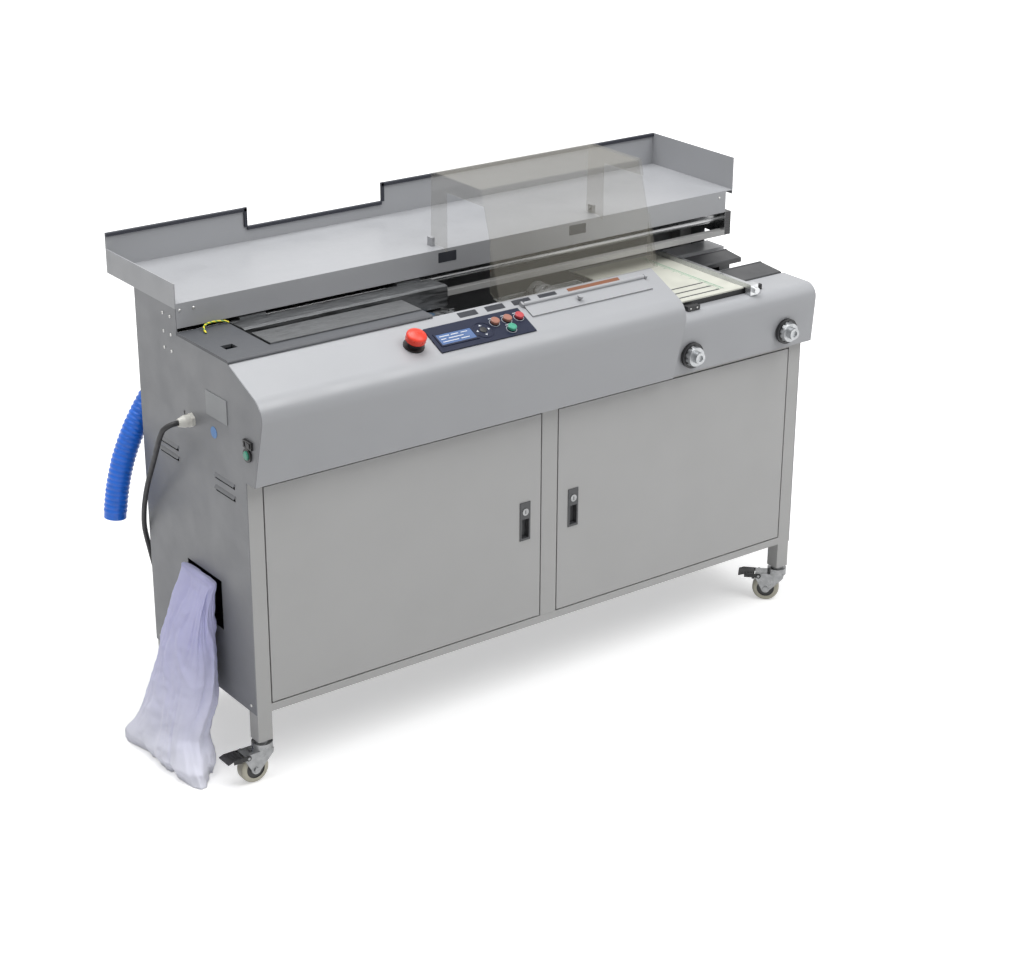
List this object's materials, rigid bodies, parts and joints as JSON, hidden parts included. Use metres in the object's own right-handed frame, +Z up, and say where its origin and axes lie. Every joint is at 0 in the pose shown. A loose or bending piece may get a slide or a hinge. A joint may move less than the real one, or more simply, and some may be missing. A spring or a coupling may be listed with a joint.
{
  "type": "perfect binding machine",
  "caption": "Floor-standing glue binding machine on castors: doors, sloping hood, sliding book clamp, milling cutter, glue tank, cover nip, guard, rear shelf, dust hose and waste bag.",
  "frame": {"origin": "on the floor, below the middle of the box round the whole machine", "axes": "+Z up from the floor; +X along the machine to the right as seen by the operator; +Y from the operator to the rear shelf"},
  "size_m": [1.603, 0.611, 1.112],
  "materials": {
    "frame_paint": "satin",
    "side_paint": "satin",
    "hood_paint": "satin",
    "door_paint": "satin",
    "dark_deck": "satin",
    "bed_steel": "satin",
    "polished_steel": "polished",
    "brushed_parts": "brushed",
    "jaw_steel": "satin",
    "nip_bar": "satin",
    "panel_print": "gloss",
    "black_plastic": "matt",
    "white_plastic": "matt",
    "table_sheet": "satin",
    "smoke_sheet": "clear",
    "orange_plastic": "gloss",
    "red_plastic": "gloss",
    "green_plastic": "gloss",
    "amber_plastic": "gloss",
    "tank_aluminium": "satin",
    "motor_paint": "satin",
    "box_paint": "satin",
    "hose_blue": "satin",
    "bag_cloth": "woven",
    "wheel_nylon": "satin",
    "cable_rubber": "matt",
    "knob_metal": "satin"
  },
  "bodies": {
    "cabinet": {"frame_posts": "frame_paint", "frame_rails": "frame_paint", "left_panel": "side_paint", "right_panel": "side_paint", "rear_panel": "side_paint", "floor_panel": "side_paint", "bed_plate": "bed_steel", "main_hood": "hood_paint", "cover_hood": "hood_paint", "deck": "dark_deck", "shelf": "hood_paint", "guide_rails": "polished_steel", "control_panel": "panel_print", "switch_rings": "black_plastic", "cable_gland": "white_plastic", "cover_table": "table_sheet", "table_rail": "black_plastic", "glue_tank": "tank_aluminium", "motors": "motor_paint", "electrics_box": "box_paint", "hose_outlet": "black_plastic", "waste_bag": "bag_cloth", "castor_mounts": "brushed_parts", "hose": "hose_blue", "power_cable": "cable_rubber", "cable_coil": "cable_rubber", "cable_tie": "black_plastic", "power_plug": "cable_rubber"},
    "left_door": {"left_door": "door_paint", "left_pull": "black_plastic"},
    "right_door": {"right_door": "door_paint", "right_pull": "black_plastic"},
    "left_lock": {"left_lock": "brushed_parts"},
    "right_lock": {"right_lock": "brushed_parts"},
    "guard": {"guard": "smoke_sheet"},
    "hatch": {"hatch": "hood_paint"},
    "carriage": {"carriage": "jaw_steel"},
    "front_jaw": {"front_jaw": "jaw_steel"},
    "nip_front": {"nip_front": "nip_bar"},
    "nip_rear": {"nip_rear": "nip_bar"},
    "fence": {"fence": "tank_aluminium"},
    "knob_left": {"knob_left": "knob_metal"},
    "knob_right": {"knob_right": "knob_metal"},
    "mode_button": {"mode_button": "amber_plastic"},
    "reset_button": {"reset_button": "amber_plastic"},
    "stop_button": {"stop_button": "red_plastic"},
    "start_button": {"start_button": "green_plastic"},
    "estop_head": {"estop_head": "orange_plastic"},
    "rocker": {"rocker": "black_plastic"},
    "side_button": {"side_button": "green_plastic"},
    "cutter_disc": {"cutter_disc": "brushed_parts"},
    "glue_roller": {"glue_roller": "brushed_parts"},
    "fork_left": {"fork_left": "brushed_parts"},
    "pedal_left": {"pedal_left": "black_plastic"},
    "wheel_front_left": {"wheel_front_left": "wheel_nylon"},
    "fork_right": {"fork_right": "brushed_parts"},
    "pedal_right": {"pedal_right": "black_plastic"},
    "wheel_front_right": {"wheel_front_right": "wheel_nylon"},
    "wheel_rear_left": {"wheel_rear_left": "wheel_nylon"},
    "wheel_rear_right": {"wheel_rear_right": "wheel_nylon"}
  },
  "joints": [
    {"name": "left_door_hinge", "type": "hinge", "parent": "cabinet", "child": "left_door", "pos_m": [-0.6125, -0.23046, 0.4075], "axis": [0, 0, -1], "range_deg": [0, 100]},
    {"name": "right_door_hinge", "type": "hinge", "parent": "cabinet", "child": "right_door", "pos_m": [0.7495, -0.23046, 0.4075], "axis": [0, 0, 1], "range_deg": [0, 100]},
    {"name": "left_lock_hinge", "type": "hinge", "parent": "left_door", "child": "left_lock", "pos_m": [0.0115, -0.22646, 0.429], "axis": [0, -1, 0], "range_deg": [0, 90]},
    {"name": "right_lock_hinge", "type": "hinge", "parent": "right_door", "child": "right_lock", "pos_m": [0.1405, -0.22646, 0.429], "axis": [0, 1, 0], "range_deg": [0, 90]},
    {"name": "guard_hinge", "type": "hinge", "parent": "cabinet", "child": "guard", "pos_m": [0.19, 0.05154, 0.964], "axis": [-1, 0, 0], "range_deg": [0, 75]},
    {"name": "hatch_hinge", "type": "hinge", "parent": "cabinet", "child": "hatch", "pos_m": [0.1835, -0.20925, 0.88199], "axis": [-1, 0, 0], "range_deg": [0, 100]},
    {"name": "carriage_slide", "type": "slide", "parent": "cabinet", "child": "carriage", "axis": [1, 0, 0], "range_m": [0, 0.79]},
    {"name": "front_jaw_slide", "type": "slide", "parent": "carriage", "child": "front_jaw", "axis": [0, 1, 0], "range_m": [-0.03, 0.022]},
    {"name": "nip_front_slide", "type": "slide", "parent": "cabinet", "child": "nip_front", "axis": [0, 1, 0], "range_m": [0, 0.022]},
    {"name": "nip_rear_slide", "type": "slide", "parent": "cabinet", "child": "nip_rear", "axis": [0, 1, 0], "range_m": [-0.022, 0]},
    {"name": "fence_slide", "type": "slide", "parent": "cabinet", "child": "fence", "axis": [1, 0, 0], "range_m": [-0.04, 0.03]},
    {"name": "knob_left_hinge", "type": "hinge", "parent": "cabinet", "child": "knob_left", "pos_m": [0.4375, -0.27646, 0.702], "axis": [0, 1, 0], "range_deg": [-191, 144]},
    {"name": "knob_right_hinge", "type": "hinge", "parent": "cabinet", "child": "knob_right", "pos_m": [0.7145, -0.27646, 0.702], "axis": [0, 1, 0], "range_deg": [0, 106]},
    {"name": "mode_button_slide", "type": "slide", "parent": "cabinet", "child": "mode_button", "axis": [0, 0.4067, -0.9135], "range_m": [0, 0.0025], "stiffness_N_per_m": 400, "springref_m": -0.001},
    {"name": "reset_button_slide", "type": "slide", "parent": "cabinet", "child": "reset_button", "axis": [0, 0.4067, -0.9135], "range_m": [0, 0.0025], "stiffness_N_per_m": 400, "springref_m": -0.001},
    {"name": "stop_button_slide", "type": "slide", "parent": "cabinet", "child": "stop_button", "axis": [0, 0.4067, -0.9135], "range_m": [0, 0.0025], "stiffness_N_per_m": 400, "springref_m": -0.001},
    {"name": "start_button_slide", "type": "slide", "parent": "cabinet", "child": "start_button", "axis": [0, 0.4067, -0.9135], "range_m": [0, 0.0025], "stiffness_N_per_m": 400, "springref_m": -0.001},
    {"name": "estop_head_slide", "type": "slide", "parent": "cabinet", "child": "estop_head", "axis": [0, 0.4067, -0.9135], "range_m": [0, 0.006]},
    {"name": "rocker_hinge", "type": "hinge", "parent": "cabinet", "child": "rocker", "pos_m": [-0.6597, -0.25446, 0.746], "axis": [0, 0, 1], "range_deg": [0, 14]},
    {"name": "side_button_slide", "type": "slide", "parent": "cabinet", "child": "side_button", "axis": [1, 0, 0], "range_m": [0, 0.003], "stiffness_N_per_m": 400, "springref_m": -0.001},
    {"name": "cutter_disc_hinge", "type": "hinge", "parent": "cabinet", "child": "cutter_disc", "pos_m": [-0.1115, -0.06546, 0.841], "axis": [0, 0, 1], "continuous": true},
    {"name": "glue_roller_hinge", "type": "hinge", "parent": "cabinet", "child": "glue_roller", "pos_m": [0.2035, -0.06546, 0.816], "axis": [0, 1, 0], "continuous": true},
    {"name": "fork_left_hinge", "type": "hinge", "parent": "cabinet", "child": "fork_left", "pos_m": [-0.638, -0.21996, 0.076], "axis": [0, 0, 1], "continuous": true},
    {"name": "pedal_left_hinge", "type": "hinge", "parent": "fork_left", "child": "pedal_left", "pos_m": [-0.68, -0.21996, 0.064], "axis": [0, -1, 0], "range_deg": [0, 10]},
    {"name": "wheel_front_left_hinge", "type": "hinge", "parent": "fork_left", "child": "wheel_front_left", "pos_m": [-0.662, -0.21996, 0.0315], "axis": [0, -1, 0], "continuous": true},
    {"name": "fork_right_hinge", "type": "hinge", "parent": "cabinet", "child": "fork_right", "pos_m": [0.775, -0.21996, 0.076], "axis": [0, 0, 1], "continuous": true},
    {"name": "pedal_right_hinge", "type": "hinge", "parent": "fork_right", "child": "pedal_right", "pos_m": [0.7453, -0.19027, 0.064], "axis": [-0.7071, -0.7071, 0], "range_deg": [0, 10]},
    {"name": "wheel_front_right_hinge", "type": "hinge", "parent": "fork_right", "child": "wheel_front_right", "pos_m": [0.75803, -0.20299, 0.0315], "axis": [-0.7071, -0.7071, 0], "continuous": true},
    {"name": "wheel_rear_left_hinge", "type": "hinge", "parent": "cabinet", "child": "wheel_rear_left", "pos_m": [-0.614, 0.16904, 0.0315], "axis": [0, 1, 0], "continuous": true},
    {"name": "wheel_rear_right_hinge", "type": "hinge", "parent": "cabinet", "child": "wheel_rear_right", "pos_m": [0.751, 0.16904, 0.0315], "axis": [0, 1, 0], "continuous": true}
  ],
  "couplings": [
    {"joint": "nip_rear_slide", "follows": "nip_front_slide", "ratio": -1},
    {"joint": "knob_right_hinge", "follows": "nip_front_slide", "rad_per_m": 83.333},
    {"joint": "knob_left_hinge", "follows": "fence_slide", "rad_per_m": 83.333}
  ]
}
